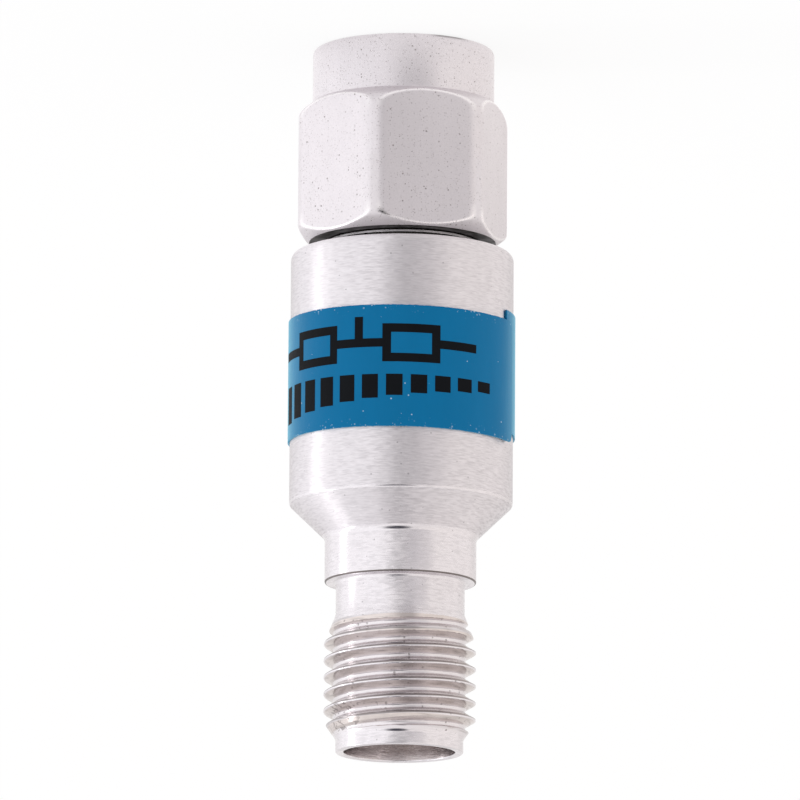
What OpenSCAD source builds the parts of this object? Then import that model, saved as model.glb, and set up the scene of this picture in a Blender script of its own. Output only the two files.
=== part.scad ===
// Coaxial attenuator with a plug at one end and a jack at the other.
// The part stands on the front face of its coupling nut, with the jack upwards.
// A resistor chip lies between the two contacts, clamped in a split carrier inside the barrel.

/* [Coupling nut] */
// Length of the nut
nut_length = 8.2; // [7.9:0.05:9.5]
// Width across the flats of the hexagon
nut_flats = 8; // [7.8:0.05:8.6]
// Diameter that the corners of the hexagon are turned to
nut_corner_d = 8.95; // [8.7:0.05:9.6]
// Diameter of the round nose and of the rear rim
nut_nose_d = 7.6; // [7.4:0.05:7.75]
// Length of the round nose
nut_nose_length = 2.28; // [1:0.02:3.5]
// Angle of the hexagon about the axis
nut_turn = 45.4; // [0:0.1:60]
// Angle of the end chamfers of the hexagon, from the axis
nut_chamfer_angle = 52; // [25:1:65]
// Rounding of the front rim
nut_rim_r = 0.2; // [0.05:0.05:0.25]
// Depth of the plain mouth in front of the thread
nut_mouth_depth = 0.5; // [0.3:0.05:0.6]
// Radial relief of the plain mouth outside the thread
nut_mouth_relief = 0.2; // [0.17:0.01:0.22]
// Radial step from the thread bore in to the running bore
nut_step = 0.08; // [0.05:0.01:0.12]
// Distance between the nut and the barrel
nut_gap = 0.46; // [0.3:0.02:0.8]
// Play of the nut along the axis
nut_float = 0.35; // [0.2:0.05:0.5]

/* [Snap ring] */
// Width of the ring along the axis
ring_width = 0.45; // [0.35:0.05:0.6]
// Radial thickness of the ring
ring_thickness = 0.6; // [0.5:0.05:0.65]
// Length of the shell's land between the gasket and the ring's groove
groove_land = 0.72; // [0.4:0.02:0.9]
// Opening of the ring, as an angle
ring_opening = 24; // [10:1:60]

/* [Barrel] */
// Diameter of the barrel
barrel_d = 9.3; // [8.8:0.05:11]
// Length of the straight barrel
barrel_length = 10.65; // [9.5:0.05:16]
// Rounding of the barrel's rim beside the nut
barrel_rim_r = 0.35; // [0.1:0.05:0.6]
// Length of the cone behind the barrel
cone_length = 1.45; // [0.8:0.05:3]
// Diameter of the cavity in the barrel
cavity_d = 6.4; // [6.25:0.05:7]
// Thickness of the wall between the cavity and the cone
cavity_end_wall = 0.55; // [0.4:0.05:1]

/* [Jack] */
// Diameter of the collar behind the thread
collar_d = 6.3; // [6:0.05:7]
// Length of the collar
collar_length = 1.85; // [1:0.05:3]
// Diameter of the neck in front of the thread
neck_d = 5.35; // [5.1:0.05:5.7]
// Length of the neck
neck_length = 1.35; // [1:0.05:3]
// Length over which the thread runs out towards the neck
runout_length = 1.24; // [0.5:0.02:2]
// Outer diameter of the thread
thread_d = 6.32; // [6.25:0.01:6.4]
// Length of the full thread
thread_length = 3.26; // [2.5:0.02:6]
// Pitch of the thread
thread_pitch = 0.7056; // [0.65:0.0001:0.8]
// Depth of the thread
thread_depth = 0.43; // [0.3:0.01:0.45]
// Width of the flat on each crest of the thread
thread_crest = 0.07; // [0.05:0.01:0.1]
// Distance of the last groove of the thread from the start of the lead-in cone
thread_start = 0.43; // [0.2:0.01:0.5]
// Length of the lead-in cone in front of the thread
lead_length = 0.72; // [0.3:0.02:1]
// Wall of the pilot round the mouth
pilot_wall = 0.34; // [0.28:0.01:0.4]
// Length of the straight pilot
pilot_length = 0.56; // [0.4:0.02:1]
// Diameter of the mouth that takes the ferrule of a plug
mouth_d = 4.62; // [4.5:0.01:4.7]
// Depth of the mouth down to the contact plane
mouth_depth = 1.95; // [1.5:0.05:2.5]

/* [Plug] */
// Depth of the contact plane behind the front face of the nut
plug_recess = 2.7; // [2.5:0.05:3]
// Length of the bare ferrule in front of the gasket
ferrule_length = 1.9; // [1.5:0.05:2]
// Wall of the ferrule
ferrule_wall = 0.24; // [0.22:0.01:0.28]
// Thickness of the gasket along the axis
gasket_width = 0.8; // [0.5:0.05:0.9]
// Radial thickness of the gasket
gasket_wall = 0.52; // [0.4:0.01:0.56]
// Room between the gasket and the relief groove round it in the nut
gasket_room = 0.22; // [0.2:0.01:0.3]
// Height of the gasket's seat above the ferrule
gasket_seat = 0.2; // [0.17:0.01:0.25]
// Overhang of the gasket in front of its seat
gasket_overhang = 0.15; // [0.1:0.01:0.2]
// Height of the rib behind the nut above the shell
rib_height = 0.14; // [0.05:0.01:0.2]
// Width of the rib along the axis
rib_width = 0.08; // [0.05:0.01:0.15]
// Distance of the rib from the rear face of the nut
rib_gap = 0.05; // [0.03:0.01:0.1]
// Length of the shell that sits in the barrel
tail_length = 2.5; // [1.5:0.05:3.5]
// Thickness of the inner lip behind each dielectric
lip_length = 0.4; // [0.3:0.05:0.6]

/* [Contacts] */
// Diameter of the pin
pin_d = 0.92; // [0.88:0.01:0.94]
// Reach of the pin in front of the contact plane
pin_reach = 2; // [1.6:0.05:2.1]
// Diameter of the contact bodies in the dielectrics
contact_d = 1.27; // [1.25:0.01:1.35]
// Height of the barb that holds each contact in its dielectric
barb_height = 0.15; // [0.05:0.01:0.25]
// Length of the barb
barb_length = 0.6; // [0.3:0.05:1]
// Depth of the hole in the socket contact
socket_depth = 3; // [2.4:0.05:3.5]
// Length of the slots in the socket contact
socket_slot_length = 2.6; // [2:0.05:3]
// Width of the slots in the socket contact
socket_slot_width = 0.14; // [0.08:0.01:0.17]
// Distance of the socket contact behind the contact plane
socket_recess = 0.1; // [0.02:0.01:0.2]
// Length of the contact's grip on the chip
grip_length = 1; // [0.6:0.05:1.5]

/* [Chip] */
// Width of the chip
chip_width = 4.4; // [4:0.05:5]
// Thickness of the chip
chip_thickness = 0.5; // [0.3:0.02:0.52]
// Distance of the chip from each end of the carrier
chip_margin = 0.9; // [0.6:0.05:1.4]
// Thickness of the printed films
film_thickness = 0.04; // [0.02:0.01:0.05]
// Width of the pads under the contacts
end_pad_width = 1.1; // [0.9:0.05:1.4]
// Width of the ground pads along the edges of the chip
ground_pad_width = 0.6; // [0.4:0.05:0.7]
// Width of the series resistor
series_width = 0.8; // [0.4:0.05:1]
// Width of the shunt resistor
shunt_width = 1.6; // [0.8:0.05:2]

/* [Label] */
// Width of the label along the barrel
label_width = 5.1; // [4:0.05:6]
// Distance of the label from the nut's end of the barrel
label_setback = 2.93; // [1.5:0.01:4]
// Thickness of the label
label_thickness = 0.08; // [0.05:0.01:0.12]
// Shift of the label's upper end against its lower end
label_skew = 0.47; // [0:0.01:1]
// Angle at which the lower end of the label begins
label_start = 203; // [0:1:360]
// Angle over which the upper end covers the lower end
label_overlap = 5; // [2:1:20]

/* [Fits] */
// Clearance between pieces that sit fast in each other
seat_gap = 0.01; // [0.005:0.005:0.015]
// Clearance between the nut and the plug's shell
running_gap = 0.04; // [0.02:0.01:0.06]
// Clearance between the nut's thread bore and the thread of a jack
thread_gap = 0.04; // [0.02:0.01:0.06]
// Clearance between a ferrule and the mouth of a jack
ferrule_gap = 0.02; // [0.01:0.005:0.03]
// Clearance between a pin and the hole of a socket contact
pin_gap = 0.015; // [0.01:0.005:0.02]
// Clearance round the snap ring
ring_gap = 0.03; // [0.02:0.01:0.05]
// Rounding left in the inner corners of the turned pieces
corner_r = 0.15; // [0.05:0.01:0.18]
// Rounding of the outer edges of the turned pieces
edge_r = 0.06; // [0.02:0.01:0.08]

/* [Hidden] */

// Fineness of turned pieces, of roundings and of the wound label
turn_fn = 96;
arc_steps = 6;
label_steps = 96;
// Overrun of cutting bodies past the faces that they cut
over = 1;
// Length of the end pads past the contacts
pad_margin = 0.1;
// Ratio of the air line's bore to its centre conductor
air_line_ratio = 2.3;
// Angle between the flanks of the thread
thread_angle = 60;
// Angle before the overlap over which the label climbs onto itself
label_climb = 25;

// Radii of the barrel and the jack
barrel_r = barrel_d / 2;
cavity_r = cavity_d / 2;
collar_r = collar_d / 2;
neck_r = neck_d / 2;
thread_r = thread_d / 2;
mouth_r = mouth_d / 2;
pilot_r = mouth_r + pilot_wall;

// Radii of the coaxial line
ferrule_r = mouth_r - ferrule_gap;
line_r = ferrule_r - ferrule_wall;
dielectric_r = line_r - seat_gap;
contact_r = contact_d / 2;
barb_r = contact_r + barb_height;
air_r = contact_r * air_line_ratio;
pin_r = pin_d / 2;
socket_r = pin_r + pin_gap;

// Radii of the nut, the ring and the plug's shell
nose_r = nut_nose_d / 2;
nut_corner_r = nut_corner_d / 2;
nut_thread_r = thread_r + thread_gap;
nut_mouth_r = nut_thread_r + nut_mouth_relief;
nut_rear_r = nut_thread_r - nut_step;
flange_r = nut_rear_r - running_gap;
ring_outer_r = flange_r + ring_thickness / 2;
ring_inner_r = flange_r - ring_thickness / 2;
gasket_seat_r = ferrule_r + gasket_seat;
gasket_inner_r = gasket_seat_r + seat_gap;
gasket_outer_r = gasket_inner_r + gasket_wall;
nut_relief_r = gasket_outer_r + gasket_room;
tail_r = cavity_r - seat_gap;

// Heights from the front face of the nut upwards
gasket_z = plug_recess + ferrule_length;
shoulder_z = gasket_z + gasket_width;
groove_z = shoulder_z + groove_land;
ring_bottom_z = groove_z + ring_gap + nut_float;
ring_top_z = ring_bottom_z + ring_width;
barrel_z = nut_length + nut_gap;
tail_z = barrel_z + tail_length;
cone_z = barrel_z + barrel_length;
cavity_z = cone_z - cavity_end_wall;
collar_z = cone_z + cone_length;
neck_z = collar_z + collar_length;
runout_z = neck_z + neck_length;
thread_z = runout_z + runout_length;
lead_z = thread_z + thread_length;
pilot_z = lead_z + lead_length;
end_z = pilot_z + pilot_length;
jack_plane_z = end_z - mouth_depth;
pin_tip_z = plug_recess - pin_reach;
chip_bottom_z = tail_z + chip_margin;
chip_top_z = cavity_z - chip_margin;
label_z = barrel_z + label_setback;

// Half the opening that takes the chip with a film on each face
chip_slot = chip_thickness / 2 + film_thickness + seat_gap;
// Length of the pads under the contacts
end_pad_length = grip_length + pad_margin;

// A unit vector along v
function unit(v) = v / norm(v);

// The points of an arc of radius r that rounds the corner b between a and c
function corner(a, b, c, r) =
    r == 0 ? [b] :
    let (
        u = unit(a - b),
        v = unit(c - b),
        half = acos(u * v) / 2,
        centre = b + unit(u + v) * r / sin(half),
        from = b + u * r / tan(half) - centre,
        to = b + v * r / tan(half) - centre,
        start = atan2(from.y, from.x),
        turn = atan2(from.x * to.y - from.y * to.x, from * to)
    )
    [for (i = [0:arc_steps])
        centre + r * [cos(start + turn * i / arc_steps), sin(start + turn * i / arc_steps)]];

// An outline of [radius, height, rounding] with its corners rounded
function rounded(outline) =
    let (
        n = len(outline),
        p = [for (o = outline) [o[0], o[1]]]
    )
    [for (i = [0:n - 1]) each corner(p[(i + n - 1) % n], p[i], p[(i + 1) % n], outline[i][2])];

// A body turned about the axis from an outline
module turned(outline) {
    rotate_extrude($fn = turn_fn)
        polygon(rounded(outline));
}

// A block centred on the axis, between two heights
module block(width, depth, bottom, top) {
    translate([-width / 2, -depth / 2, bottom])
        cube([width, depth, top - bottom]);
}

// The body before its thread is cut
module body_blank() {
    turned([
        [cavity_r, barrel_z, 0],
        [barrel_r, barrel_z, barrel_rim_r],
        [barrel_r, cone_z, edge_r],
        [collar_r, collar_z, corner_r],
        [collar_r, neck_z, edge_r],
        [neck_r, neck_z, corner_r],
        [neck_r, runout_z, 0],
        [thread_r, thread_z, 0],
        [thread_r, lead_z, 0],
        [pilot_r, pilot_z, 0],
        [pilot_r, end_z, edge_r],
        [mouth_r, end_z, edge_r],
        [mouth_r, jack_plane_z, 0],
        [line_r, jack_plane_z, 0],
        [line_r, cavity_z + lip_length, 0],
        [air_r, cavity_z + lip_length, 0],
        [air_r, cavity_z, 0],
        [cavity_r, cavity_z, 0]
    ]);
}

// The grooves of the thread, as V rings one pitch apart from the lead-in down to the run-out
module thread_grooves() {
    root_r = thread_r - thread_depth;
    half_top = (thread_pitch - thread_crest) / 2;
    half_root = half_top - thread_depth * tan(thread_angle / 2);
    last_z = lead_z + thread_start;
    for (i = [0:floor((last_z - runout_z) / thread_pitch)])
        translate([0, 0, last_z - i * thread_pitch])
            turned([
                [root_r, -half_root, 0],
                [thread_r, -half_top, 0],
                [thread_r + over, -half_top, 0],
                [thread_r + over, half_top, 0],
                [thread_r, half_top, 0],
                [root_r, half_root, 0]
            ]);
}

// The body, turned in one piece: barrel, cone, collar, neck, thread and pilot
module housing() {
    color("silver")
        difference() {
            body_blank();
            thread_grooves();
        }
}

// The shell of the plug: ferrule, gasket seat, ring groove, rib behind the nut and tail
module plug_shell() {
    groove_r = ring_inner_r - ring_gap;
    groove_top_z = ring_top_z + ring_gap;
    seat_z = gasket_z + gasket_overhang;
    rib_r = flange_r + rib_height;
    rib_z = nut_length + rib_gap;
    color("silver")
        turned([
            [line_r, plug_recess, 0],
            [ferrule_r, plug_recess, edge_r],
            [ferrule_r, seat_z, 0],
            [gasket_seat_r, seat_z, 0],
            [gasket_seat_r, shoulder_z, 0],
            [flange_r, shoulder_z, edge_r],
            [flange_r, groove_z, 0],
            [groove_r, groove_z, 0],
            [groove_r, groove_top_z, 0],
            [flange_r, groove_top_z, 0],
            [flange_r, rib_z, 0],
            [rib_r, rib_z, 0],
            [rib_r, rib_z + rib_width, 0],
            [flange_r, rib_z + rib_width, 0],
            [flange_r, barrel_z, 0],
            [tail_r, barrel_z, 0],
            [tail_r, tail_z, edge_r],
            [air_r, tail_z, 0],
            [air_r, tail_z - lip_length, 0],
            [line_r, tail_z - lip_length, 0]
        ]);
}

// The hollow of the nut: mouth, thread bore, gasket relief, running bore and ring groove
module nut_hollow() {
    groove_r = ring_outer_r + ring_gap;
    rear_lead = corner_r;
    turned([
        [0, -over, 0],
        [nut_mouth_r, -over, 0],
        [nut_mouth_r, nut_mouth_depth, 0],
        [nut_thread_r, nut_mouth_depth + nut_mouth_relief, 0],
        [nut_thread_r, gasket_z, 0],
        [nut_relief_r, gasket_z, 0],
        [nut_relief_r, shoulder_z, 0],
        [nut_rear_r, shoulder_z, 0],
        [nut_rear_r, ring_bottom_z - ring_gap, 0],
        [groove_r, ring_bottom_z - ring_gap, 0],
        [groove_r, ring_top_z + ring_gap, 0],
        [nut_rear_r, ring_top_z + ring_gap, 0],
        [nut_rear_r, nut_length - rear_lead, 0],
        [nut_rear_r + rear_lead + over, nut_length + over, 0],
        [0, nut_length + over, 0]
    ]);
}

// The nut, turned from hexagon bar, with its corners chamfered at both ends
module coupling_nut() {
    chamfer_length = (nut_corner_r - nose_r) / tan(nut_chamfer_angle);
    color("lightgray")
        difference() {
            union() {
                turned([
                    [0, 0, 0],
                    [nose_r, 0, nut_rim_r],
                    [nose_r, nut_nose_length + chamfer_length, 0],
                    [0, nut_nose_length + chamfer_length, 0]
                ]);
                intersection() {
                    translate([0, 0, nut_nose_length])
                        rotate([0, 0, nut_turn])
                            cylinder(d = nut_flats / cos(30), h = nut_length - nut_nose_length, $fn = 6);
                    turned([
                        [0, nut_nose_length, 0],
                        [nose_r, nut_nose_length, 0],
                        [nut_corner_r, nut_nose_length + chamfer_length, 0],
                        [nut_corner_r, nut_length - chamfer_length, 0],
                        [nose_r, nut_length, 0],
                        [0, nut_length, 0]
                    ]);
                }
            }
            nut_hollow();
        }
}

// The open ring that holds the nut on the plug's shell
module snap_ring() {
    color("goldenrod")
        rotate([0, 0, ring_opening / 2])
            rotate_extrude(angle = 360 - ring_opening, $fn = turn_fn)
                translate([ring_inner_r, ring_bottom_z])
                    square([ring_outer_r - ring_inner_r, ring_width]);
}

// The soft ring that the rim of a mating jack presses on
module nut_gasket() {
    color("firebrick")
        turned([
            [gasket_inner_r, gasket_z + seat_gap, 0],
            [gasket_outer_r, gasket_z + seat_gap, edge_r],
            [gasket_outer_r, shoulder_z - seat_gap, edge_r],
            [gasket_inner_r, shoulder_z - seat_gap, 0]
        ]);
}

// An insulating tube between two heights, with a groove for the contact's barb
module dielectric(bottom, top) {
    barb_z = (bottom + top - barb_length) / 2;
    hole_r = contact_r + seat_gap;
    color("ivory")
        turned([
            [hole_r, bottom, 0],
            [dielectric_r, bottom, 0],
            [dielectric_r, top, 0],
            [hole_r, top, 0],
            [hole_r, barb_z + barb_length + seat_gap, 0],
            [barb_r + seat_gap, barb_z + barb_length + seat_gap, 0],
            [barb_r + seat_gap, barb_z - seat_gap, 0],
            [hole_r, barb_z - seat_gap, 0]
        ]);
}

// The insulator of the plug
module plug_dielectric() {
    dielectric(plug_recess, tail_z - lip_length - seat_gap);
}

// The insulator of the jack
module jack_dielectric() {
    dielectric(cavity_z + lip_length + seat_gap, jack_plane_z);
}

// The pin of the plug, with a forked tail on the chip
module plug_pin() {
    tail_end_z = chip_bottom_z + grip_length;
    dielectric_top_z = tail_z - lip_length - seat_gap;
    barb_z = (plug_recess + dielectric_top_z - barb_length) / 2;
    tip_r = pin_r / 2;
    color("gold")
        difference() {
            turned([
                [0, pin_tip_z, 0],
                [pin_r, pin_tip_z, tip_r],
                [pin_r, plug_recess, 0],
                [contact_r, plug_recess, 0],
                [contact_r, barb_z, 0],
                [barb_r, barb_z, 0],
                [barb_r, barb_z + barb_length, 0],
                [contact_r, barb_z + barb_length, 0],
                [contact_r, tail_end_z, 0],
                [0, tail_end_z, 0]
            ]);
            block(barrel_d, 2 * chip_slot, chip_bottom_z - seat_gap, tail_end_z + over);
        }
}

// The socket contact of the jack, slotted in four, with a forked tail on the chip
module jack_socket() {
    tail_end_z = chip_top_z - grip_length;
    front_z = jack_plane_z - socket_recess;
    barb_z = (cavity_z + lip_length + seat_gap + jack_plane_z - barb_length) / 2;
    color("gold")
        difference() {
            turned([
                [0, tail_end_z, 0],
                [contact_r, tail_end_z, 0],
                [contact_r, barb_z, 0],
                [barb_r, barb_z, 0],
                [barb_r, barb_z + barb_length, 0],
                [contact_r, barb_z + barb_length, 0],
                [contact_r, front_z, edge_r],
                [socket_r, front_z, 0],
                [socket_r, front_z - socket_depth, 0],
                [0, front_z - socket_depth, 0]
            ]);
            block(barrel_d, 2 * chip_slot, tail_end_z - over, chip_top_z + seat_gap);
            for (turn = [0, 90])
                rotate([0, 0, turn])
                    block(barrel_d, socket_slot_width, front_z - socket_slot_length, front_z + over);
        }
}

// One half of the carrier, with half the air line and half the chip's pocket
module carrier_half() {
    half_gap = seat_gap / 2;
    difference() {
        translate([0, 0, tail_z + seat_gap])
            cylinder(r = tail_r, h = cavity_z - tail_z - 2 * seat_gap, $fn = turn_fn);
        translate([0, 0, tail_z - over])
            cylinder(r = air_r, h = cavity_z - tail_z + 2 * over, $fn = turn_fn);
        block(chip_width + 2 * seat_gap, 2 * chip_slot, chip_bottom_z - seat_gap, chip_top_z + seat_gap);
        translate([0, barrel_d / 2 - half_gap, 0])
            block(2 * barrel_d, barrel_d, tail_z - over, cavity_z + over);
    }
}

// The carrier's half towards the film side of the chip
module carrier_front() {
    color("darkgoldenrod")
        carrier_half();
}

// The carrier's half towards the bare side of the chip
module carrier_back() {
    color("darkgoldenrod")
        rotate([0, 0, 180])
            carrier_half();
}

// The ceramic plate that carries the resistors
module chip_substrate() {
    color("white")
        block(chip_width, chip_thickness, chip_bottom_z, chip_top_z);
}

// A printed patch on the film side of the chip, given by its corners
module film(left, right, bottom, top) {
    translate([left, -chip_thickness / 2 - film_thickness, bottom])
        cube([right - left, film_thickness, top - bottom]);
}

// The resistor network: a series bar between the contacts and a shunt bar to ground
module resistor_film() {
    middle_z = (chip_bottom_z + chip_top_z) / 2;
    shunt_reach = chip_width / 2 - ground_pad_width;
    color("dimgray")
        union() {
            film(-series_width / 2, series_width / 2,
                chip_bottom_z + end_pad_length, chip_top_z - end_pad_length);
            film(-shunt_reach, shunt_reach, middle_z - shunt_width / 2, middle_z + shunt_width / 2);
        }
}

// The two pads that the contacts grip
module end_pads() {
    color("lightgray")
        for (bottom = [chip_bottom_z, chip_top_z - end_pad_length])
            film(-end_pad_width / 2, end_pad_width / 2, bottom, bottom + end_pad_length);
}

// The two ground pads that the carrier presses on
module ground_pads() {
    color("lightgray")
        for (left = [-chip_width / 2, chip_width / 2 - ground_pad_width])
            film(left, left + ground_pad_width, chip_bottom_z, chip_top_z);
}

// Share of the label's way from its lower end to its upper end, as an angle
function label_angle(i) = (360 + label_overlap) * i / label_steps;

// Radius of the label's inner face, which climbs onto the lower end before the overlap
function label_inner_r(i) =
    let (climb = (label_angle(i) - (360 - label_climb)) / label_climb)
    barrel_r + seat_gap + (label_thickness + seat_gap) * max(0, min(1, climb));

// The four corners of the label's section at one step
function label_section(i) =
    let (
        angle = label_start - label_angle(i),
        rise = label_skew * (i / label_steps - 1 / 2),
        inner = label_inner_r(i)
    )
    [for (c = [[0, 0], [1, 0], [1, 1], [0, 1]])
        let (r = inner + c.x * label_thickness)
        [r * cos(angle), r * sin(angle), label_z + rise + c.y * label_width]];

// The label, a strip wound once round the barrel with its end over its beginning
module label() {
    last = 4 * label_steps;
    points = [for (i = [0:label_steps]) each label_section(i)];
    sides = [for (i = [0:label_steps - 1], k = [0:3])
        let (a = 4 * i + k, b = 4 * i + (k + 1) % 4)
        [a, b, b + 4, a + 4]];
    ends = [[3, 2, 1, 0], [last, last + 1, last + 2, last + 3]];
    color("steelblue")
        polyhedron(points = points, faces = concat(sides, ends));
}

housing();
label();
plug_shell();
coupling_nut();
snap_ring();
nut_gasket();
plug_pin();
plug_dielectric();
jack_socket();
jack_dielectric();
carrier_front();
carrier_back();
chip_substrate();
resistor_film();
end_pads();
ground_pads();
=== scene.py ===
"""Coaxial attenuator: turned body, captive hexagon nut and wound label, dressed over its solids."""

import math
from types import SimpleNamespace

import bmesh
import bpy
from bpy.props import FloatProperty, FloatVectorProperty, IntProperty, PointerProperty
from mathutils import Matrix, Vector, noise


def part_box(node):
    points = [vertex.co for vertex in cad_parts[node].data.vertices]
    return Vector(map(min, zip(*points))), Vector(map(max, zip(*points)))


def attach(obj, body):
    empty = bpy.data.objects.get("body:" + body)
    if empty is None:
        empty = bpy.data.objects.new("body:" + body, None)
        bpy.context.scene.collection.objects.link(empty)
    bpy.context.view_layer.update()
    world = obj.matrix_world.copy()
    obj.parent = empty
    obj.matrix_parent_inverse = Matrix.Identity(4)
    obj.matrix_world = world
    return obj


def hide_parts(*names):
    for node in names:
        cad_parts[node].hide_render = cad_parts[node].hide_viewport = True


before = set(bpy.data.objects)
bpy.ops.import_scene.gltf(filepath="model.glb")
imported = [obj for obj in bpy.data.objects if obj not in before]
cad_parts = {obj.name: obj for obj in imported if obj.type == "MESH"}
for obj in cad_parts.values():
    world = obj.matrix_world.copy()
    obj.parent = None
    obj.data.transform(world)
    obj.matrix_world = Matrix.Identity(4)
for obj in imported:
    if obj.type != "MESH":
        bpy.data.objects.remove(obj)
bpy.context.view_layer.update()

bl_info = {
    "name": "Coaxial attenuator",
    "version": (1, 0, 0),
    "blender": (4, 5, 0),
    "location": "View3D > Sidebar > Attenuator",
    "description": "Builds a coaxial attenuator with its thread, nut, label and finishes",
    "category": "Object",
}

MM = 0.001
TURN = 2 * math.pi
# Points this close are one point, and places this close are the same place, in millimetres.
MERGE = 1e-5
NEAR = 1e-3
# Edges that bend more than this stay sharp.
SHARP = math.radians(32)
# Height of a thread's flank for each step along the axis.
FLANK_SLOPE = math.tan(math.radians(60))
BODY_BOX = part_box("housing")


def number(name, description, default, **others):
    """A number with the name and the description that a user sees."""
    return FloatProperty(name=name, description=description, default=default, **others)


def length(name, description, default):
    """A length that is given in millimetres and kept in metres."""
    return number(name, description, default * MM, min=0.0, precision=6, unit="LENGTH")


def angle(name, description, default):
    """An angle that is given in degrees and kept in radians."""
    return number(name, description, math.radians(default), unit="ROTATION")


def colour(name, description, default):
    """A colour in linear light."""
    return FloatVectorProperty(name=name, description=description, default=default, size=3,
                               min=0.0, max=1.0, subtype="COLOR")


def count(name, description, default, least):
    """A whole number of steps."""
    return IntProperty(name=name, description=description, default=default, min=least)


class BodySizes(bpy.types.PropertyGroup):
    """Sizes of the turned body, from its barrel to its threaded end."""

    barrel_d: length("Barrel", "Diameter of the barrel", 9.3)
    barrel_length: length("Barrel length", "Length of the straight barrel", 10.65)
    barrel_rim_r: length("Barrel rim", "Rounding of the rim beside the nut", 0.35)
    cone_length: length("Cone", "Length of the cone behind the barrel", 1.45)
    cavity_d: length("Cavity", "Diameter of the cavity in the barrel", 6.4)
    cavity_end_wall: length("Cavity wall", "Wall between the cavity and the cone", 0.55)
    collar_d: length("Collar", "Diameter of the collar", 6.3)
    collar_length: length("Collar length", "Length of the collar", 1.85)
    neck_d: length("Neck", "Diameter of the neck", 5.35)
    neck_length: length("Neck length", "Length of the neck", 1.35)
    runout_length: length("Run-out", "Length over which the thread runs out towards the neck", 1.24)
    thread_d: length("Thread", "Outer diameter of the thread", 6.32)
    thread_root_d: length("Thread root", "Diameter at the root of the thread", 5.46)
    thread_pitch: length("Thread pitch", "Distance from one crest to the next", 0.7056)
    thread_length: length("Thread length", "Length of the full thread", 3.26)
    thread_crest: length("Thread crest", "Width of the flat on each crest", 0.07)
    thread_phase: length("Thread start", "Height of one crest on the +X side", 26.597)
    lead_length: length("Lead-in", "Length of the cone in front of the thread", 0.72)
    pilot_d: length("Pilot", "Outer diameter of the rim round the mouth", 5.3)
    mouth_d: length("Mouth", "Diameter of the mouth", 4.62)
    mouth_depth: length("Mouth depth", "Depth of the mouth down to the contact plane", 1.95)
    line_d: length("Line bore", "Bore that holds the insulator", 4.1)
    air_d: length("Air line bore", "Bore of the lip behind the insulator", 2.921)
    lip_length: length("Lip", "Thickness of the lip behind the insulator", 0.4)
    edge_r: length("Edges", "Rounding of the outer edges", 0.06)
    corner_r: length("Inner corners", "Rounding left in the inner corners", 0.15)
    lead_corner_r: length("Lead corner", "Rounding left between the lead-in and the pilot", 0.1)
    columns: count("Columns", "Steps round the axis", 192, 32)
    thread_rows: count("Thread rows", "Steps along one pitch of the thread", 36, 8)


class NutSizes(bpy.types.PropertyGroup):
    """Sizes of the captive hexagon nut."""

    nut_length: length("Length", "Length of the nut", 8.2)
    flats: length("Flats", "Width across the flats", 8.0)
    corner_d: length("Corners", "Diameter that the corners are turned to", 8.95)
    nose_d: length("Nose", "Diameter of the round nose", 7.6)
    nose_length: length("Nose length", "Length of the round nose", 2.28)
    rear_d: length("Rear rim", "Diameter inside the rear chamfer", 7.8)
    turn: angle("Turn", "Angle of one corner about the axis", 45.4)
    chamfer: angle("Chamfer", "Angle of the end chamfers from the axis", 52.0)
    rim_r: length("Front rim", "Rounding of the front rim", 0.2)
    mouth_edge_r: length("Mouth edge", "Rounding of the edge of the mouth", 0.05)
    soft_edge: length("Soft edges", "Width over which the edges of the flats are rounded", 0.09)
    soft_corner: length("Soft corners", "Width over which the chamfers blend into the corners", 0.36)
    mouth_d: length("Mouth", "Diameter of the plain mouth", 6.8)
    mouth_depth: length("Mouth depth", "Depth of the plain mouth", 0.5)
    thread_d: length("Thread bore", "Diameter at the root of the inner thread", 6.4)
    thread_inner_d: length("Thread ridges", "Diameter inside the ridges of the thread", 5.6)
    relief_d: length("Relief", "Diameter of the relief round the gasket", 6.48)
    relief_start: length("Relief start", "Height at which the relief begins", 4.6)
    shoulder: length("Shoulder", "Height of the inner shoulder", 5.4)
    bore_d: length("Running bore", "Diameter of the running bore", 6.24)
    groove_d: length("Ring groove", "Diameter of the groove for the snap ring", 6.82)
    groove_start: length("Groove start", "Lower height of the ring groove", 6.47)
    groove_end: length("Groove end", "Upper height of the ring groove", 6.98)
    lead: length("Rear lead", "Chamfer of the running bore at the rear", 0.15)
    columns: count("Columns", "Steps round the axis", 264, 48)
    thread_rows: count("Thread rows", "Steps along one pitch of the inner thread", 24, 8)


class LabelSizes(bpy.types.PropertyGroup):
    """Sizes of the wound label and of the marks on it."""

    width: length("Width", "Width of the label along the barrel", 5.1)
    setback: length("Setback", "Distance from the nut's end of the barrel", 2.93)
    thickness: length("Thickness", "Thickness of the film", 0.07)
    lift: length("Lift", "Distance of the film from the barrel", 0.012)
    skew: length("Skew", "Shift of the upper end against the lower end", 0.47)
    start: angle("Start", "Angle at which the lower end begins", 203.0)
    overlap: angle("Overlap", "Angle over which the upper end covers the lower end", 5.0)
    climb: angle("Climb", "Angle over which the film climbs onto itself", 25.0)
    corner_r: length("Corners", "Rounding of the corners of the upper end", 0.28)
    ragged: length("Ragged edge", "Height of the small steps left by the cut", 0.02)
    ragged_reach: length("Ragged reach", "How far the small steps reach into the film", 0.4)
    rim_dust: length("Rim dust", "Width of the dusty band along both edges", 0.25)
    mark_height: length("Mark height", "Height of the marks above the film", 0.005)


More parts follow.
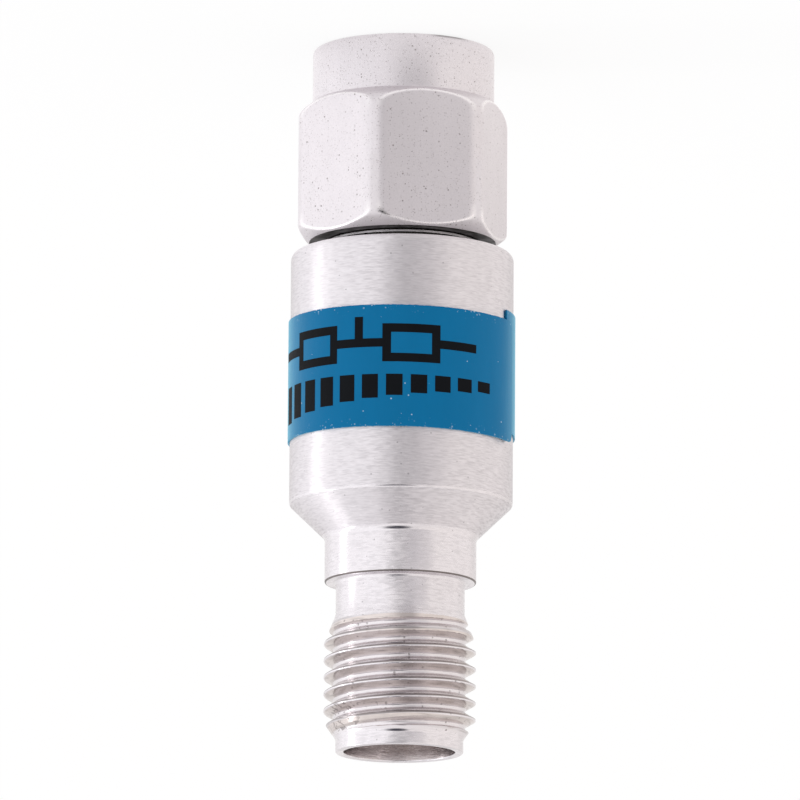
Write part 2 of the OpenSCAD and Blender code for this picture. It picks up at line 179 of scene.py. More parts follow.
class Finishes(bpy.types.PropertyGroup):
    """Colours of the finishes, in linear light."""

    steel: colour("Turned steel", "Colour of the turned steel", (0.76, 0.727, 0.75))
    nut_steel: colour("Nut steel", "Colour of the nut", (0.742, 0.704, 0.727))
    stain: colour("Thread film", "Thin brown film on the flanks of the thread", (0.69, 0.625, 0.6))
    # Painted shade: a darker steel tone for the recess inside the mouth of the jack, also the dark tone of
    # the nut's inner thread.
    dull: colour("Dull steel", "Steel inside the mouth of the jack", (0.7, 0.645, 0.645))
    worn: colour("Worn edges", "Bare metal on the edges of the nut's flats", (0.88, 0.85, 0.86))
    # Painted shade: a dark tone on the edge of the collar beside the neck and in a line under each crest of
    # the thread; it also colours real stains and specks on the thread.
    edge: colour("Dark edges", "Dirt along the sharp edges of the jack", (0.2, 0.175, 0.17))
    # Painted shade: a near-black tone in the gap behind the nut, on the nut's rear face and in dark spots
    # on one rear corner and on the front rim of the nut.
    soot: colour("Old grease", "Dark film in the gap behind the nut", (0.05, 0.045, 0.043))
    pit: colour("Pits", "Colour of the small pits", (0.2, 0.17, 0.16))
    film: colour("Label film", "Blue of the label", (0.001, 0.148, 0.335))
    mark: colour("Marks", "Black of the printed marks", (0.006, 0.007, 0.009))
    bronze: colour("Bronze", "Colour of the snap ring", (0.62, 0.42, 0.22))
    silicone: colour("Silicone", "Colour of the gasket", (0.45, 0.07, 0.04))
    gold: colour("Gold", "Colour of the plated contacts", (0.83, 0.61, 0.25))
    insulator: colour("Insulator", "Colour of the insulators", (0.85, 0.85, 0.82))
    brass: colour("Brass", "Colour of the carrier", (0.66, 0.5, 0.24))
    alumina: colour("Alumina", "Colour of the chip", (0.84, 0.82, 0.77))
    resistor: colour("Resistor ink", "Colour of the resistor film", (0.05, 0.05, 0.055))
    silver: colour("Silver ink", "Colour of the printed pads", (0.68, 0.67, 0.64))


class StageSizes(bpy.types.PropertyGroup):
    """The floor, the lamp and the camera."""

    floor_r: length("Floor", "Radius of the floor", 260.0)
    floor_gap: length("Floor gap", "Distance of the floor below the nut's front face", 0.02)
    floor_colour: colour("Floor colour", "Colour of the floor", (0.97, 0.97, 0.97))
    shadow: number("Shadow", "Share of the floor that takes the shadow", 0.16, min=0.0, max=1.0,
                   subtype="FACTOR")
    lamp_level: number("Strip lamp", "Brightness of the strip lamp's face", 1.9, min=0.0)
    lamp_width: length("Lamp width", "Width of the strip lamp", 130.0)
    lamp_height: length("Lamp height", "Height of the strip lamp", 900.0)
    lamp_place: FloatVectorProperty(name="Lamp place", description="Middle of the strip lamp",
                                    default=(0.6, 0.075, 0.12), subtype="TRANSLATION", unit="LENGTH")
    camera_distance: length("Camera distance", "Distance of the camera from the axis", 450.0)
    camera_rise: angle("Camera rise", "Height of the camera above the horizon", 10.8)
    camera_lean: angle("Camera lean", "Lean of the axis in the picture", 0.37)
    aim_height: length("Aim height", "Height on the axis at the middle of the picture", 14.85)
    aim_side: length("Aim side", "Sideways offset of the picture's middle", 0.0625)
    lens: number("Lens", "Focal length on a 36 mm frame", 486.0, min=1.0, unit="CAMERA")


class AttenuatorSettings(bpy.types.PropertyGroup):
    """All the settings of the attenuator."""

    body: PointerProperty(type=BodySizes)
    nut: PointerProperty(type=NutSizes)
    label: PointerProperty(type=LabelSizes)
    finishes: PointerProperty(type=Finishes)
    stage: PointerProperty(type=StageSizes)


# Meshes

def in_mm(group):
    """The settings of a group by name, with their lengths in millimetres."""
    values = {}
    for name in type(group).__annotations__:
        value = getattr(group, name)
        values[name] = value / MM if group.bl_rna.properties[name].unit == "LENGTH" else value
    return SimpleNamespace(**values)


def mend_normals(bm):
    """Makes the faces of a mesh look the same way, and outward where it is closed."""
    bmesh.ops.recalc_face_normals(bm, faces=bm.faces)


def turn_outline(outline, columns):
    """A closed body turned about the axis from a closed outline of (radius, height)."""
    bm = bmesh.new()
    points = [bm.verts.new((r, 0.0, z)) for r, z in outline]
    for a, b in zip(points, points[1:] + points[:1]):
        bm.edges.new((a, b))
    bmesh.ops.spin(bm, geom=bm.verts[:] + bm.edges[:], cent=(0, 0, 0), axis=(0, 0, 1),
                   dvec=(0, 0, 0), angle=TURN, steps=columns, use_merge=True)
    bmesh.ops.remove_doubles(bm, verts=bm.verts, dist=MERGE)
    mend_normals(bm)
    return bm


def radius(co):
    return math.hypot(co.x, co.y)


def is_ring(edge):
    """True for an edge that runs round the axis."""
    a, b = (v.co for v in edge.verts)
    return abs(a.z - b.z) < NEAR and abs(radius(a) - radius(b)) < NEAR


def round_ring(bm, r, z, offset, segments):
    """Rounds the ring edge at that radius and height."""
    edges = [e for e in bm.edges if is_ring(e)
             and abs(radius(e.verts[0].co) - r) < NEAR and abs(e.verts[0].co.z - z) < NEAR]
    if not edges:
        raise RuntimeError(f"there is no ring edge at radius {r:.3f} and height {z:.3f}")
    bmesh.ops.bevel(bm, geom=edges, offset=offset, offset_type="OFFSET", segments=segments,
                    profile=0.5, affect="EDGES", clamp_overlap=True, material=-1)


def split_rows(bm, row_height):
    """Cuts the faces into rows, no taller than row_height gives for their place."""
    groups = {}
    for edge in bm.edges:
        if is_ring(edge):
            continue
        middle = (edge.verts[0].co + edge.verts[1].co) / 2
        cuts = int(edge.calc_length() / row_height(radius(middle), middle.z))
        if cuts:
            groups.setdefault(cuts, []).append(edge)
    for cuts, edges in groups.items():
        bmesh.ops.subdivide_edges(bm, edges=edges, cuts=cuts, use_grid_fill=True)


def set_radius(vert, r):
    """Moves a vertex to a new radius, along its own direction from the axis."""
    scale = r / radius(vert.co)
    vert.co.x *= scale
    vert.co.y *= scale


def clamp(value):
    """The value, held between nought and one."""
    return min(1.0, max(0.0, value))


def falling(distance, reach):
    """One at no distance, falling evenly to nought at the reach."""
    return max(0.0, 1 - abs(distance) / reach)


def smooth_min(a, b, width):
    """The smaller of two values, blended where they are close."""
    near = max(width - abs(a - b), 0.0) / width
    return min(a, b) - near * near * width / 4


def smooth_max(a, b, width):
    return -smooth_min(-a, -b, width)


def turns_from_crest(co, pitch, phase):
    """Turns along the axis from the crest of a right-handed thread."""
    return (co.z - phase) / pitch - math.atan2(co.y, co.x) / TURN


def ridge_distance(co, pitch, phase):
    """Distance along the axis from the nearest crest of a right-handed thread."""
    turns = turns_from_crest(co, pitch, phase)
    return abs(turns - round(turns)) * pitch


def lay_on_helix(vert, pitch, phase, rows):
    """Slides a vertex along the axis onto the nearest of the rows that follow the thread."""
    steps = turns_from_crest(vert.co, pitch, phase) * rows
    vert.co.z += (round(steps) - steps) * pitch / rows


def faces_outward(face):
    """How far a face looks away from the axis; less than nought for one that looks towards it."""
    return face.normal.dot(Vector((*face.calc_center_median().xy, 0)))


def add_object(name, data):
    """A new object in the scene."""
    made = bpy.data.objects.new(name, data)
    bpy.context.scene.collection.objects.link(made)
    return made


def add_mesh(name, bm, materials):
    """A new object in the scene, made from a mesh that is then freed."""
    mesh = bpy.data.meshes.new(name)
    bm.to_mesh(mesh)
    bm.free()
    for material in materials:
        mesh.materials.append(material)
    return add_object(name, mesh)


def add_piece(name, bm, materials, body, slot, *nodes):
    """Makes a finished piece from a mesh in millimetres, and ties it to the frame."""
    if any(not e.is_manifold for e in bm.edges):
        raise RuntimeError(f"{name} isn't closed")
    bmesh.ops.scale(bm, vec=(MM, MM, MM), verts=bm.verts)
    for face in bm.faces:
        face.smooth = True
    for edge in bm.edges:
        edge.smooth = edge.calc_face_angle() < SHARP
    piece = add_mesh(name, bm, materials)
    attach(piece, body)
    if nodes:
        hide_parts(*nodes)


# Nodes

def shaded(tone, level):
    """A colour made darker or lighter, up to white."""
    return [min(1.0, c * level) for c in tone]


def rgba(tone, level=1.0):
    return (*shaded(tone, level), 1.0)


class Nodes:
    """A node tree, with short ways to add nodes to it."""

    def __init__(self, tree):
        self.tree = tree

    def fill(self, node, values):
        """Sets or links the inputs of a node, by name or by number, as in _0 for the first."""
        for key, value in values.items():
            socket = node.inputs[int(key[1:]) if key[0] == "_" else key]
            if isinstance(value, bpy.types.NodeSocket):
                self.tree.links.new(value, socket)
            else:
                socket.default_value = value

    def add(self, kind, settings=None, **values):
        """The outputs of a new shader node with these settings and inputs."""
        node = self.tree.nodes.new("ShaderNode" + kind)
        for key, value in (settings or {}).items():
            setattr(node, key, value)
        self.fill(node, values)
        return node.outputs

    def calc(self, operation, a, b=0.0, limited=False):
        """A sum on two numbers, held between nought and one where it is limited."""
        return self.add("Math", {"operation": operation, "use_clamp": limited}, _0=a, _1=b)[0]

    def times(self, first, *others):
        """The product of all its numbers."""
        for other in others:
            first = self.calc("MULTIPLY", first, other)
        return first

    def vector(self, operation, a, b=(0, 0, 0)):
        """A sum on two vectors, whose result is a number for a length or a dot product."""
        made = self.add("VectorMath", {"operation": operation}, _0=a, _1=b)
        return made["Value" if operation in ("LENGTH", "DOT_PRODUCT") else "Vector"]

    def noise(self, vector, scale, detail=2.0, roughness=0.5):
        return self.add("TexNoise", Vector=vector, Scale=scale, Detail=detail, Roughness=roughness)["Fac"]

    def span(self, value, low, high, to_low=0.0, to_high=1.0):
        """Takes a value smoothly from one range to another."""
        ends = {"From Min": low, "From Max": high, "To Min": to_low, "To Max": to_high}
        return self.add("MapRange", {"interpolation_type": "SMOOTHSTEP"}, Value=value, **ends)["Result"]

    def mix(self, share, a, b):
        """Mixes two colours. Inputs 0, 6 and 7 of the node are the share and the colours."""
        return self.add("Mix", {"data_type": "RGBA"}, _0=share, _6=a, _7=b)[2]

    def layers(self, base, *layers):
        """Lays colours over a base. Each layer has its share, its tone and, if need be, its level."""
        for share, *tone in layers:
            base = self.mix(share, base, rgba(*tone))
        return base

    def own(self, name):
        """A value that the piece itself keeps at its vertices."""
        return self.add("Attribute", {"attribute_name": name})["Fac"]

    def place(self):
        """The Object coordinates in a material."""
        where = self.tree.nodes.get("Where")
        return where.outputs["Object"] if where else self.add("TexCoord", {"name": "Where"})["Object"]

    def group(self, maker, **values):
        """The outputs of a shared group, made at its first use, on Object coordinates if not told else."""
        shared = bpy.data.node_groups.get(maker.__name__) or maker(maker.__name__)
        if "Vector" not in values:
            values["Vector"] = self.place()
        return self.add("Group", {"node_tree": shared}, **values)


# Shared node groups

def new_group(name, **numbers):
    """A new group that takes a vector and some numbers: its nodes, and the sockets of what it takes."""
    tree = bpy.data.node_groups.new(name, "ShaderNodeTree")
    tree.interface.new_socket("Vector", in_out="INPUT", socket_type="NodeSocketVector")
    for key, default in numbers.items():
        item = tree.interface.new_socket(key, in_out="INPUT", socket_type="NodeSocketFloat")
        item.default_value = default
    return Nodes(tree), tree.nodes.new("NodeGroupInput").outputs


def put_out(nodes, kind="NodeSocketFloat", **values):
    """Sends values out of a group through new sockets, and gives back its tree."""
    for key in values:
        nodes.tree.interface.new_socket(key, in_out="OUTPUT", socket_type=kind)
    nodes.fill(nodes.tree.nodes.new("NodeGroupOutput"), values)
    return nodes.tree


def turning_marks(name):
    """Fine marks of a cutting tool, drawn out round the axis."""
    nodes, given = new_group(name, Pitch=24000.0, Reach=1800.0)
    axes = nodes.add("CombineXYZ", X=given["Reach"], Y=given["Reach"], Z=given["Pitch"])[0]
    drawn = nodes.vector("MULTIPLY", given["Vector"], axes)
    finer = nodes.vector("MULTIPLY", drawn, (1.7, 1.7, 1.3))
    tall = nodes.vector("MULTIPLY", given["Vector"], (1.0, 1.0, 0.35))
    return put_out(nodes, Grooves=nodes.noise(drawn, 1.0, 1.0), Mottle=nodes.noise(tall, 900.0, 3.0, 0.6),
                   Glints=nodes.span(nodes.noise(finer, 1.0, 1.0), 0.6, 0.78))


def small_specks(name):
    """Small round specks, scattered over the surface: pits in metal or dust on film."""
    nodes, given = new_group(name, Scale=2600.0, Size=0.16, Share=0.3)
    cells = nodes.add("TexVoronoi", Vector=given["Vector"], Scale=given["Scale"])
    parts = nodes.add("SeparateColor", Color=cells["Color"])
    size = nodes.times(parts["Green"], given["Size"])
    inside = nodes.span(nodes.calc("SUBTRACT", size, cells["Distance"]), 0.0, 0.05)
    chosen = nodes.calc("LESS_THAN", parts["Red"], given["Share"])
    return put_out(nodes, Specks=nodes.times(inside, chosen),
                   Grain=nodes.noise(given["Vector"], 14000.0, 2.0, 0.6))


def axis_place(name):
    """Distance from the axis, height along it and place along X, in metres."""
    nodes, given = new_group(name)
    parts = nodes.add("SeparateXYZ", Vector=given["Vector"])
    flat = nodes.add("CombineXYZ", X=parts["X"], Y=parts["Y"])[0]
    return put_out(nodes, Radius=nodes.vector("LENGTH", flat), Height=parts["Z"], Side=parts["X"])


# Tints of the room. Each has the turn of its middle from the front and its rise above the horizon, the
# angles from the middle where it begins and where it is full, its share there, and its colour.
ROOM_PATCHES = (
    (0, 90, 60, 15, 0.3, (0.8, 0.775, 0.785)),
    (180, 0, 62, 20, 0.4, (0.59, 0.57, 0.56)),
    (180, 48, 40, 10, 0.4, (0.54, 0.54, 0.54)),
    (-29, -11, 28, 8, 0.4, (0.32, 0.31, 0.37)),
    (-13, -40, 24, 6, 0.5, (0.04, 0.035, 0.06)),
    (20, -61, 34, 10, 0.14, (0.2, 0.2, 0.27)),
    (-8, 26, 46, 12, 0.1, (0.3, 0.28, 0.34)),
    (-8, -9, 25, 8, 0.22, (0.08, 0.08, 0.11)),
    (5, 28, 24, 9, 0.95, (0.03, 0.03, 0.05)),
)
WARM_SIDE = (1.09, 1.05, 1.02, 1.0)
COOL_SIDE = (1.27, 1.27, 1.285, 1.0)
WHITE = (1.0, 1.0, 1.0, 1.0)


def studio_room(name):
    """A bright room by direction: warm on one side, cool on the other, with dimmer patches."""
    nodes, given = new_group(name)
    way = nodes.vector("NORMALIZE", given["Vector"])
    room = nodes.mix(nodes.span(nodes.add("SeparateXYZ", Vector=way)["X"], -0.8, 0.8), WARM_SIDE, COOL_SIDE)
    for *angles, share, tone in ROOM_PATCHES:
        turn, rise, outer, inner = (math.radians(a) for a in angles)
        aim = (math.sin(turn) * math.cos(rise), -math.cos(turn) * math.cos(rise), math.sin(rise))
        close = nodes.vector("DOT_PRODUCT", way, aim)
        near = nodes.span(close, math.cos(outer), math.cos(inner), 0.0, share)
        room = nodes.layers(room, (near, tone))
    return put_out(nodes, "NodeSocketColor", Color=room)


# Finishes

def new_material(name, **sockets):
    """A material with a Principled shader and plain values on its sockets, and its nodes."""
    material = bpy.data.materials.new(name)
    material.use_nodes = True
    shader = material.node_tree.nodes["Principled BSDF"]
    for key, value in sockets.items():
        shader.inputs[key.replace("_", " ")].default_value = value
    return material, Nodes(material.node_tree)


def dress(material, nodes, base, rough, height, depth, **others):
    """Gives a material its colour, its roughness and its relief, whose depth is in millimetres."""
    relief = nodes.add("Bump", Strength=1.0, Distance=depth * MM, Height=height)["Normal"]
    values = {"Base Color": base, "Roughness": rough, "Normal": relief, **others}
    nodes.fill(nodes.tree.nodes["Principled BSDF"], values)
    return material


def turned_metal(name, tone, dark, rough, spread, depth, pitch=24000.0, pits=0.12):
    """Metal turned on a lathe: fine streaks and rings, glints and a few pits."""
    material, nodes = new_material(name, Metallic=1.0, Anisotropic=spread, Anisotropic_Rotation=0.25)
    marks = nodes.group(turning_marks, Pitch=pitch, Reach=2600.0)
    specks = nodes.group(small_specks, Scale=6500.0, Size=0.3, Share=pits)
    base = nodes.layers(
        rgba(tone),
        (nodes.span(marks["Mottle"], 0.3, 0.7, 0.0, 0.5), dark),
        (nodes.span(marks["Grooves"], 0.42, 0.66, 0.0, 0.24), tone, 0.7),
        (nodes.times(marks["Glints"], 0.5), tone, 1.18),
        (nodes.times(specks["Specks"], 0.5), tone, 0.35))
    matt = nodes.span(marks["Grooves"], 0.25, 0.75, rough - 0.06, rough + 0.08)
    return dress(material, nodes, base, matt, marks["Grooves"], depth)


def thread_metal(name, tone, stain, dark_tone, root, crest, last):
    """Painted highlight as bright steel on the crests and roots, a film on the flanks, painted shade under
    the crests, stains on the last turn.
    """
    material, nodes = new_material(name, Metallic=1.0)
    place = nodes.group(axis_place)
    marks = nodes.group(turning_marks, Pitch=16000.0, Reach=1100.0)
    specks = nodes.group(small_specks, Scale=5200.0, Size=0.34, Share=0.2)
    flank, depth = nodes.own("flank"), crest - root
    upper = nodes.span(flank, -0.15, 0.15)
    lower = nodes.span(flank, -0.02, -0.12, 0.0, 0.75)
    ridge = nodes.span(place["Radius"], crest - 0.14 * depth, crest - 0.05 * depth)
    foot = nodes.span(place["Radius"], root + 0.2 * depth, root + 0.04 * depth, 0.0, 0.8)
    near_crest = nodes.span(place["Radius"], crest - 0.32 * depth, crest - 0.16 * depth)
    blots = nodes.times(
        nodes.span(nodes.noise(nodes.place(), 4200.0, 3.0), 0.53, 0.6), upper,
        nodes.span(place["Height"], last, last + 0.1 * MM),
        nodes.span(place["Side"], 1.2 * MM, 2.0 * MM, 0.0, 0.7),
        nodes.span(place["Side"], 2.95 * MM, 2.7 * MM))
    base = nodes.layers(
        rgba(tone, 0.85),
        (upper, stain),
        (nodes.span(marks["Mottle"], 0.35, 0.7, 0.0, 0.45), stain, 0.7),
        (nodes.span(marks["Grooves"], 0.5, 0.7, 0.0, 0.4), stain, 0.5),
        # Painted highlight: the crests and the roots keep the bright steel tone, unlike the flanks.
        (nodes.calc("MAXIMUM", ridge, foot), tone),
        # Painted shade: a dark line on the lower flank just under each crest.
        (nodes.times(near_crest, lower), dark_tone),
        (nodes.calc("MAXIMUM", blots, nodes.times(specks["Specks"], 0.6)), dark_tone))
    matt = nodes.span(marks["Grooves"], 0.3, 0.7, 0.12, 0.22)
    return dress(material, nodes, base, matt, marks["Grooves"], 0.0015)


def shell_metal(name, tone, soot, gap_start, flange):
    """Turned metal with painted shade, a near-black tone, in the gap behind the nut."""
    material, nodes = new_material(name, Metallic=1.0)
    place = nodes.group(axis_place)
    marks = nodes.group(turning_marks, Pitch=14000.0)
    behind = nodes.span(place["Height"], gap_start, gap_start + 0.1 * MM)
    under = nodes.span(place["Radius"], flange + 0.1 * MM, flange + 0.05 * MM)
    base = nodes.layers(
        rgba(tone),
        (nodes.span(marks["Mottle"], 0.3, 0.7, 0.0, 0.3), tone, 0.85),
        # Painted shade: near black behind the nut, within the width of the nut's running bore.
        (nodes.times(behind, under), soot))
    matt = nodes.span(marks["Grooves"], 0.3, 0.7, 0.26, 0.36)
    return dress(material, nodes, base, matt, marks["Grooves"], 0.002)


def tumbled_metal(name, tone, pit, worn, dark_tone, nose):
    """Matt plated metal with pits, bare worn edges, a frosted rear chamfer, a smoother nose and painted
    shade in a few dark spots.
    """
    material, nodes = new_material(name)
    coarse = nodes.group(small_specks, Scale=8000.0, Size=0.33, Share=0.4)
    fine = nodes.group(small_specks, Scale=15000.0, Size=0.42, Share=0.5)
    marks = nodes.group(turning_marks, Pitch=3000.0, Reach=2200.0)
    along = nodes.group(axis_place)["Height"]
    rubbed = nodes.own("worn")
    uneven = nodes.times(coarse["Specks"], nodes.span(marks["Grooves"], 0.35, 0.65))
    pits = nodes.calc("ADD", uneven, nodes.times(fine["Specks"], 0.45), True)
    base = nodes.layers(
        rgba(tone),
        (nodes.span(marks["Mottle"], 0.3, 0.7, 0.0, 0.35), tone, 0.9),
        (nodes.span(coarse["Grain"], 0.3, 0.7, 0.0, 0.12), tone, 0.6),
        (rubbed, worn),
        (nodes.times(pits, 0.75), pit),
        # Painted shade: dark spots on one rear corner and on the front rim.
        (nodes.own("painted_shade"), dark_tone))
    matt = nodes.span(coarse["Grain"], 0.3, 0.7, 0.36, 0.46)
    matt = nodes.calc("SUBTRACT", matt, nodes.span(along, nose, nose - 0.1 * MM, 0.0, 0.1))
    matt = nodes.calc("SUBTRACT", matt, nodes.times(rubbed, 0.18))
    grain = nodes.times(coarse["Grain"], nodes.span(along, nose - 0.1 * MM, nose, 0.07, 0.25))
    frosted = nodes.span(nodes.own("frosted"), 0.0, 1.0, 1.0, 0.35)
    return dress(material, nodes, base, matt, nodes.calc("SUBTRACT", grain, pits), 0.012, Metallic=frosted)


def film_material(name, tone, dusty=(0.6, 0.72, 0.8)):
    """Printed film: satin, with pale dust and slight unevenness."""
    material, nodes = new_material(
        name, IOR=1.5, Specular_IOR_Level=0.06, Coat_Roughness=0.15, Coat_Weight=0.03,
        Sheen_Weight=1.0, Sheen_Roughness=0.35, Sheen_Tint=(0.35, 0.85, 1.0, 1.0))
    dust = nodes.group(small_specks, Scale=7000.0, Size=0.25, Share=0.03)
    rim_dust = nodes.group(small_specks, Scale=9000.0, Size=0.42, Share=0.45)
    marks = nodes.group(turning_marks, Pitch=2500.0, Reach=2500.0)
    specks = nodes.calc("MAXIMUM", dust["Specks"], nodes.times(rim_dust["Specks"], nodes.own("rim")))
    base = nodes.layers(
        rgba(tone),
        (nodes.span(marks["Mottle"], 0.3, 0.7, 0.0, 0.3), tone, 0.86),
        (nodes.times(specks, 0.6), dusty))
    matt = nodes.span(dust["Grain"], 0.3, 0.7, 0.33, 0.43)
    return dress(material, nodes, base, matt, marks["Mottle"], 0.01)


def plain_finish(name, tone, rough, metal, depth, dark, shine=0.5):
    """A finish for the inner pieces and the ink: grain, faint mottling and a few specks."""
    material, nodes = new_material(name, Metallic=metal, Specular_IOR_Level=shine)
    specks = nodes.group(small_specks, Scale=2200.0, Size=0.14, Share=0.15)
    marks = nodes.group(turning_marks, Pitch=9000.0)
    base = nodes.layers(
        rgba(tone),
        (nodes.span(marks["Mottle"], 0.3, 0.7, 0.0, 0.6), tone, dark),
        (nodes.times(specks["Specks"], 0.3), tone, 0.5))
    matt = nodes.span(specks["Grain"], 0.3, 0.7, rough - 0.05, rough + 0.07)
    return dress(material, nodes, base, matt, marks["Grooves"], depth)


class ATTENUATOR_OT_body(bpy.types.Operator):
    """Turns the body and cuts the thread of its jack"""

    bl_idname = "attenuator.body"
    bl_label = "Turned body"

    def execute(self, context):
        settings = context.scene.attenuator
        sizes = in_mm(settings.body)
        barrel, cavity, collar, neck, crest, root, pilot, mouth, line, air = (d / 2 for d in (
            sizes.barrel_d, sizes.cavity_d, sizes.collar_d, sizes.neck_d, sizes.thread_d,
            sizes.thread_root_d, sizes.pilot_d, sizes.mouth_d, sizes.line_d, sizes.air_d))
        barrel_z, end_z = (point.z / MM for point in BODY_BOX)
        cone_z = barrel_z + sizes.barrel_length
        cavity_z = cone_z - sizes.cavity_end_wall
        lip_z = cavity_z + sizes.lip_length
        collar_z = cone_z + sizes.cone_length
        neck_z = collar_z + sizes.collar_length
        run_z = neck_z + sizes.neck_length
        thread_z = run_z + sizes.runout_length
        lead_z = thread_z + sizes.thread_length
        pilot_z = lead_z + sizes.lead_length
        plane_z = end_z - sizes.mouth_depth
        bm = turn_outline([
            (cavity, barrel_z), (barrel, barrel_z), (barrel, cone_z), (collar, collar_z), (collar, neck_z),
            (neck, neck_z), (neck, run_z), (crest, thread_z), (crest, lead_z), (pilot, pilot_z),
            (pilot, end_z), (mouth, end_z), (mouth, plane_z), (line, plane_z), (line, lip_z),
            (air, lip_z), (air, cavity_z), (cavity, cavity_z)], sizes.columns)
        edge, corner, lead_corner = sizes.edge_r, sizes.corner_r, sizes.lead_corner_r
        round_ring(bm, barrel, barrel_z, sizes.barrel_rim_r, 7)
        for r, z in ((barrel, cone_z), (collar, neck_z), (pilot, end_z), (mouth, end_z)):
            round_ring(bm, r, z, edge, 4)
        inner_corners = [(collar, collar_z, corner), (neck, neck_z, corner), (pilot, pilot_z, lead_corner)]
        for r, z, size in inner_corners:
            round_ring(bm, r, z, size, 5)
        lead_end = pilot_z - lead_corner
        pitch, rows, phase = sizes.thread_pitch, sizes.thread_rows, sizes.thread_phase
        outer_row, inner_row, root_blend = 0.25, 0.6, 0.06

        def row_height(r, z):
            if r > mouth + edge and run_z < z < lead_end:
                return pitch / rows
            return outer_row if r > cavity else inner_row

        split_rows(bm, row_height)
        lead_slope = (crest - pilot) / (pilot_z - lead_z)
        run_slope = (crest - neck) / (thread_z - run_z)
        flank = bm.verts.layers.float.new("flank")
        for vert in bm.verts:
            z = vert.co.z
            if radius(vert.co) < mouth + edge or not run_z + MERGE < z < lead_end - MERGE:
                continue
            if run_z + pitch / rows < z < lead_end - pitch / rows:
                lay_on_helix(vert, pitch, phase, rows)
                z = vert.co.z
            vert[flank] = math.sin(TURN * turns_from_crest(vert.co, pitch, phase))
            away = max(0.0, ridge_distance(vert.co, pitch, phase) - sizes.thread_crest / 2)
            r = smooth_max(crest - away * FLANK_SLOPE, root, root_blend)
            r = min(r, crest, neck + (z - run_z) * run_slope, crest - max(0.0, z - lead_z) * lead_slope)
            set_radius(vert, r)
        mend_normals(bm)
        bright = [(barrel, cone_z, edge), *inner_corners, (pilot, end_z, edge)]
        # Painted shade: a dark tone on the edge of the collar beside the neck.
        shaded_edges = [(collar, neck_z, edge)]
        on_thread, on_jack, in_bore, on_edge, on_shaded_edge = range(1, 6)

        def is_at(middle, places):
            return any(math.hypot(radius(middle) - r, middle.z - z) < size for r, z, size in places)

        for face in bm.faces:
            middle = face.calc_center_median()
            if is_at(middle, bright):
                face.material_index = on_edge
            elif radius(middle) > mouth + edge and run_z + pitch / 2 < middle.z < pilot_z:
                face.material_index = on_thread
            elif is_at(middle, shaded_edges):
                face.material_index = on_shaded_edge
            elif radius(middle) < mouth + edge / 2 and middle.z < end_z - edge:
                face.material_index = in_bore
            elif radius(middle) < barrel and middle.z > collar_z:
                face.material_index = on_jack
        tones = settings.finishes
        satin = shaded(tones.steel, 0.93)
        materials = [
            turned_metal("barrel_steel", tones.steel, satin, 0.42, 0.9, 0.004),
            thread_metal("thread_steel", tones.steel, tones.stain, tones.edge, root * MM, crest * MM,
                         (lead_z - pitch) * MM),
            turned_metal("jack_steel", tones.steel, satin, 0.28, 0.9, 0.0016, pitch=14000.0, pits=0.1),
            # Painted shade: a darker steel tone inside the mouth.
            turned_metal("bore_shade_steel", tones.dull, shaded(tones.dull, 0.8), 0.2, 0.6, 0.003),
            turned_metal("edge_steel", tones.steel, shaded(tones.steel, 0.9), 0.14, 0.0, 0.0003),
            turned_metal("edge_shade_steel", tones.edge, shaded(tones.edge, 0.8), 0.35, 0.0, 0.001),
        ]
        add_piece("turned_body", bm, materials, "barrel", "turned_steel", "housing")
        return {"FINISHED"}


